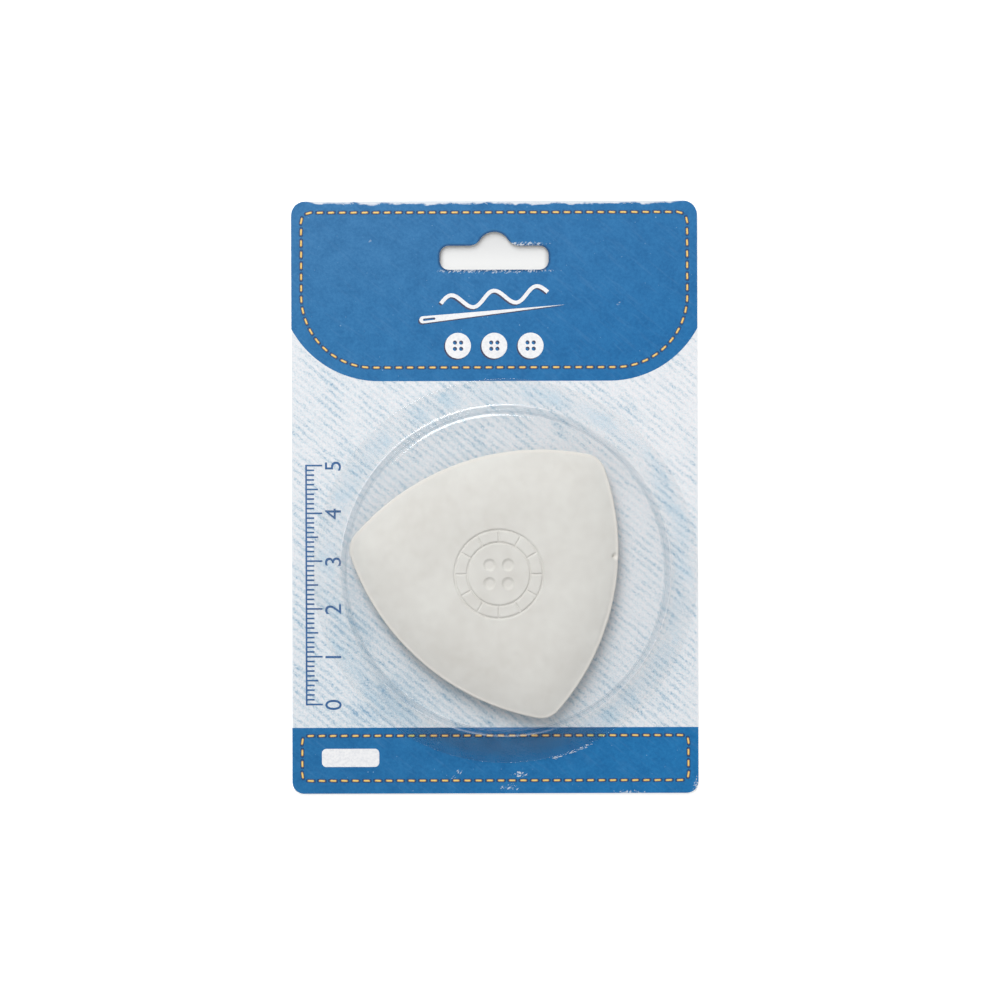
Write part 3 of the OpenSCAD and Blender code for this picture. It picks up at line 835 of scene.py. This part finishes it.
roof = [(r, crown - sag) for r, sag in crown_sag] + [(shoulder_x - 0.1, crown)]
profile = roof + bend(shoulder_x, shoulder_z, shoulder_r, 90, draft, 10)
profile += bend(foot_x, flange_top + foot_r, foot_r, 180 + draft, 270, 7)
profile += [(foot_x + 0.1, flange_top), (mid_flange, flange_top), (flange_r - 0.13, flange_top)]
profile += [(flange_r - 0.08, flange_top), (flange_r, flange_top - 0.06)]
profile += [(flange_r, flange_top - 0.12), (flange_r, flange_low + 0.03), (flange_r, flange_low)]
profile += [(flange_r - 0.05, flange_low), (mid_flange, flange_low), (foot_x + 0.1, flange_low)]
profile += bend(foot_x, flange_top + foot_r, foot_r + sheet_t, 270, 180 + draft, 7)
profile += bend(shoulder_x, shoulder_z, shoulder_r - sheet_t, draft, 90, 10)
profile += [(r, z - sheet_t) for r, z in reversed(roof)]

sheet = Finish("clear_sheet")
height = sheet.split(sheet.place)[2]
upright = sheet.add("ShaderNodeTexCoord").outputs["Normal"]
level_share = sheet.off(sheet.split(upright)[2])
# A thin dark line is painted into the sheet's see-through colour where the shoulder bends into
# the wall: painted shade for the light that the sheet's thickness turns aside there. A bend turns
# light aside and takes none away, so it throws no dark shadow.
shadow_ray = sheet.add("ShaderNodeLightPath").outputs["Is Shadow Ray"]
bend_shade = sheet.product(
    sheet.step(level_share, 0.18, 0.26), sheet.step(level_share, 0.74, 0.50),
    sheet.step(height, 2.5, 5.5, 0.5, 1.0), sheet.sum("SUBTRACT", 1.0, shadow_ray),
)
see_through_and_bend_shade = sheet.blend(bend_shade, (0.998, 0.999, 0.999, 1), (0.78, 0.825, 0.855, 1))
through = sheet.add("ShaderNodeBsdfTransparent", {0: see_through_and_bend_shade})
scratches = sheet.noise(2.0, 3.0, 0.7, 30, (9, 0.4, 1))
gloss = sheet.add("ShaderNodeBsdfGlossy", {
    "Roughness": sheet.step(scratches, 0.45, 0.8, 0.06, 0.13),
    "Normal": sheet.bump(sheet.noise(12.0, 2.0), 0.08),
})
inner_side = sheet.add("ShaderNodeNewGeometry").outputs["Backfacing"]
ratio = sheet.step(inner_side, 0.0, 1.0, sheet_index, 1 / sheet_index)
mirror = sheet.add("ShaderNodeFresnel", {"IOR": ratio}).outputs[0]
mirror = sheet.product(mirror, sheet.step(level_share, 0.995, 0.95, 1.0, 2.4))
glossy_sheet = sheet.over(sheet.sum("MINIMUM", mirror, 0.08), through, gloss)
# Painted highlight: the sheet is made unevenly hazy white where it bends into the flange, like
# stressed plastic
foot_highlight_haze = sheet.product(
    sheet.step(level_share, 0.78, 0.85), sheet.step(level_share, 0.985, 0.95),
    sheet.step(sheet.distance((bubble_x, bubble_y, flange_top)), 37.0, 36.0),
    sheet.step(height, 3.0, 2.0), sheet.step(sheet.noise(14.0, 2.0), 0.38, 0.62, 0.03, 0.24),
)
veil = sheet.add("ShaderNodeLayerWeight", {"Blend": 0.12}).outputs["Facing"]
veil = sheet.sum("MAXIMUM", sheet.step(veil, 0.0, 1.0, 0.003, 0.04), foot_highlight_haze)
haze = sheet.add("ShaderNodeBsdfDiffuse", {0: (0.85, 0.89, 0.93, 1)})
sheet.end(sheet.over(veil, glossy_sheet, haze))

blister = formed("formed_blister", profile, 0.05, sheet.material)
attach(blister, "blister")
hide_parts("blister")

# TORN FIBRES. Where the flange and the card's top edge have been picked at, thin curls of white
# paper stand out of the board.

curl_steps = 6
tear_r = flange_r + 0.28

sliver = []
for i in range(curl_steps + 1):
    u = i / curl_steps
    half = 0.5 * math.sin(math.pi * min(0.98, u + 0.02)) ** 0.6
    lift = 0.35 * math.sin(math.pi * u)
    for v in (-1, 1):
        sliver.append((u - 0.5, v * half * 0.13 + 0.10 * math.sin(4 * u), lift * 0.25))
sliver_faces = [(2 * i, 2 * i + 2, 2 * i + 3, 2 * i + 1) for i in range(curl_steps)]
curl = put("paper_curl", new_mesh("paper_curl", sliver, sliver_faces))

tearing = new_tree("tearing", [
    ("Curl", "Object"), ("Count", "Int"), ("Spread", "Float"), ("Smallest", "Float"),
    ("Largest", "Float"), ("Seed", "Int"), ("Material", "Material"),
])
given = tearing.add("NodeGroupInput").outputs
edge_line = tearing.add("GeometryNodeMeshToCurve", {0: given["Geometry"]}).outputs[0]
number = tearing.add("GeometryNodeInputIndex").outputs[0]
share = tearing.add("FunctionNodeRandomValue", {
    "ID": number, "Seed": given["Seed"],
}, data_type="FLOAT").outputs[1]
sample = tearing.add("GeometryNodeSampleCurve", {
    "Curves": edge_line, "Factor": share,
}, mode="FACTOR").outputs
aside = tearing.add("FunctionNodeRandomValue", {
    0: (-1, -1, 0), 1: (1, 1, 0), "ID": number, "Seed": 11,
}, data_type="FLOAT_VECTOR").outputs[0]
aside = tearing.add(
    "ShaderNodeVectorMath", {0: aside, 3: given["Spread"]}, operation="SCALE",
).outputs[0]
spot = tearing.add(
    "ShaderNodeVectorMath", {0: sample["Position"], 1: aside}, operation="ADD",
).outputs[0]
marks = tearing.add("GeometryNodePoints", {"Count": given["Count"], "Position": spot}).outputs[0]
lie = tearing.add("FunctionNodeAlignRotationToVector", {
    "Vector": sample["Tangent"],
}, axis="X").outputs[0]
swing = tearing.add("FunctionNodeRandomValue", {
    0: (-0.3, -0.05, -0.5), 1: (0.3, 0.05, 0.5), "ID": number, "Seed": 23,
}, data_type="FLOAT_VECTOR").outputs[0]
swing = tearing.add("FunctionNodeEulerToRotation", {0: swing}).outputs[0]
lie = tearing.add(
    "FunctionNodeRotateRotation", {0: lie, 1: swing}, rotation_space="LOCAL",
).outputs[0]
size = tearing.add("FunctionNodeRandomValue", {
    2: given["Smallest"], 3: given["Largest"], "ID": number, "Seed": 37,
}, data_type="FLOAT").outputs[1]
piece_of = tearing.add("GeometryNodeObjectInfo", {"Object": given["Curl"]}).outputs["Geometry"]
laid = tearing.add("GeometryNodeInstanceOnPoints", {
    "Points": marks, "Instance": piece_of, "Rotation": lie, "Scale": size,
}).outputs[0]
joined = tearing.add("GeometryNodeRealizeInstances", {0: laid}).outputs[0]
end_tree(tearing, joined, given["Material"])

paper = Finish("torn_paper")
paper_grain = paper.noise(0.2, 3.0, 0.7)
torn_paper = paper.coat({
    "Base Color": paper.ramp(paper_grain, (0.3, tint(176, 202, 224)), (0.7, tint(240, 243, 246))),
    "Roughness": 0.9, "Normal": paper.bump(paper_grain, 0.02),
})
flange_edge = []
for a in range(283, 298):
    out_x, out_y = tear_r * math.cos(math.radians(a)), tear_r * math.sin(math.radians(a))
    flange_edge.append((bubble_x + out_x, bubble_y + out_y, print_level + 0.03))
top_edge = [(-36.0 + 6.5 * i, card_top - 0.50, print_level + 0.01) for i in range(12)]
for name, points, count, spread, smallest, largest, seed in (
    ("torn_flange_edge", flange_edge, 34, 0.20, 0.25, 1.0, 4),
    ("torn_top_edge", top_edge, 60, 0.16, 0.3, 0.8, 8),
):
    line = [(i, i + 1) for i in range(len(points) - 1)]
    piece = make_piece(name, tearing, new_mesh(name, points, edges=line), {
        "Curl": curl, "Count": count, "Spread": spread * mm,
        "Smallest": smallest, "Largest": largest, "Seed": seed,
    }, torn_paper)
    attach(piece, "card")
bpy.data.objects.remove(curl)

# STUDIO. A white table, one tall softbox at the upper left, a weak one at the foot, and a pale
# room that is darker near the floor and round the camera, which looks straight down.

table_reach, table_level = 3000, -0.2
corners = [(-1, -1), (1, -1), (1, 1), (-1, 1)]
table = new_mesh(
    "white_table", [(table_reach * a, table_reach * b, table_level) for a, b in corners],
    [(0, 1, 2, 3)],
)
floor = put("white_table", table)
table_top = Finish("white_table")
x, y, _ = table_top.split(table_top.place)
# Half the width of a card-shaped frame through each place: card_side at the card's own edge
frame_half = table_top.sum(
    "MAXIMUM", table_top.off(x), table_top.sum("SUBTRACT", table_top.off(y), card_top - card_side),
)
table_white = table_top.ramp(
    table_top.noise(60.0, 2.0), (0.2, (0.93, 0.93, 0.93, 1)), (0.8, (0.95, 0.95, 0.95, 1)),
)
# The table is painted darker under the card as painted shade, most under the slot's top edge and at
# its ends, where only the slot shows it
shade_under_card = table_top.ramp(
    table_top.step(y, 48.5, 54.0), (0.0, (0.72, 0.725, 0.72, 1)), (1.0, (0.635, 0.64, 0.64, 1)),
)
slot_end = table_top.step(table_top.off(x), 10.2, 11.6)
shade_under_card = table_top.blend(slot_end, shade_under_card, (0.44, 0.445, 0.45, 1))
table_white = table_top.blend(
    table_top.step(frame_half, card_side - 1, 36.0), table_white, shade_under_card,
)
# Painted light: the table glows round the card, from its edges outwards and less far away, and
# lifts the card's cast shadow there
glow_round_card = table_top.product(
    table_top.step(frame_half, card_side - 1, card_side, 0.0, 0.3),
    table_top.step(frame_half, 60, 45, 0.35, 1.0),
)
table.materials.append(table_top.coat({
    "Base Color": table_white,
    "Roughness": 0.95, "Specular IOR Level": 0.0,
    "Emission Color": (1, 1, 1, 1), "Emission Strength": glow_round_card,
}))


def softbox(name, azimuth, elevation, far, width, height, brightness):
    """A softbox that faces the card's middle. Its brightness is that of its face."""
    light = bpy.data.lights.new(name, "AREA")
    light.shape = "RECTANGLE"
    light.size = width
    light.size_y = height
    light.energy = brightness * math.pi * width * height
    box = put(name, light)
    a, e = math.radians(azimuth), math.radians(elevation)
    level = far * math.cos(e)
    box.location = (level * math.cos(a), level * math.sin(a), far * math.sin(e))
    box.rotation_euler = (math.pi / 2 - e, 0, a + math.pi / 2)
    box.visible_camera = False


softbox("key_softbox", 108.5, 50, 0.8, 0.34, 0.72, 6.65)
softbox("foot_softbox", 243, 38, 0.8, 0.30, 0.30, 0.9)

world = bpy.data.worlds.new("studio")
scene.world = world
world.use_nodes = True
room = Wiring(world.node_tree)
looking = room.split(room.add("ShaderNodeTexCoord").outputs["Generated"])
glow = ((0.0, 0.28), (0.18, 0.42), (0.42, 0.71), (0.84, 0.72), (0.93, 0.56), (1.0, 0.50))
ceiling = room.ramp(looking[2], *((up, (grey, grey, grey * 1.01, 1)) for up, grey in glow))
strength = room.add("ShaderNodeMapRange", {
    0: looking[1], 1: -1.0, 2: 1.0, 3: 0.86, 4: 1.10,
}).outputs[0]
sky = room.add("ShaderNodeBackground", {0: ceiling, 1: strength})
room.add("ShaderNodeOutputWorld", {0: sky.outputs[0]})

camera_data = bpy.data.cameras.new("camera")
camera_data.lens = 100
camera_data.sensor_width = 36
camera = put("camera", camera_data)
camera.location = (1.1 * mm, -0.61 * mm, 582.0 * mm)
camera.rotation_euler = (0, 0, math.radians(-0.15))
scene.camera = camera
scene.cycles.transparent_max_bounces = 32
scene.view_settings.view_transform = "Standard"
scene.view_settings.look = "None"
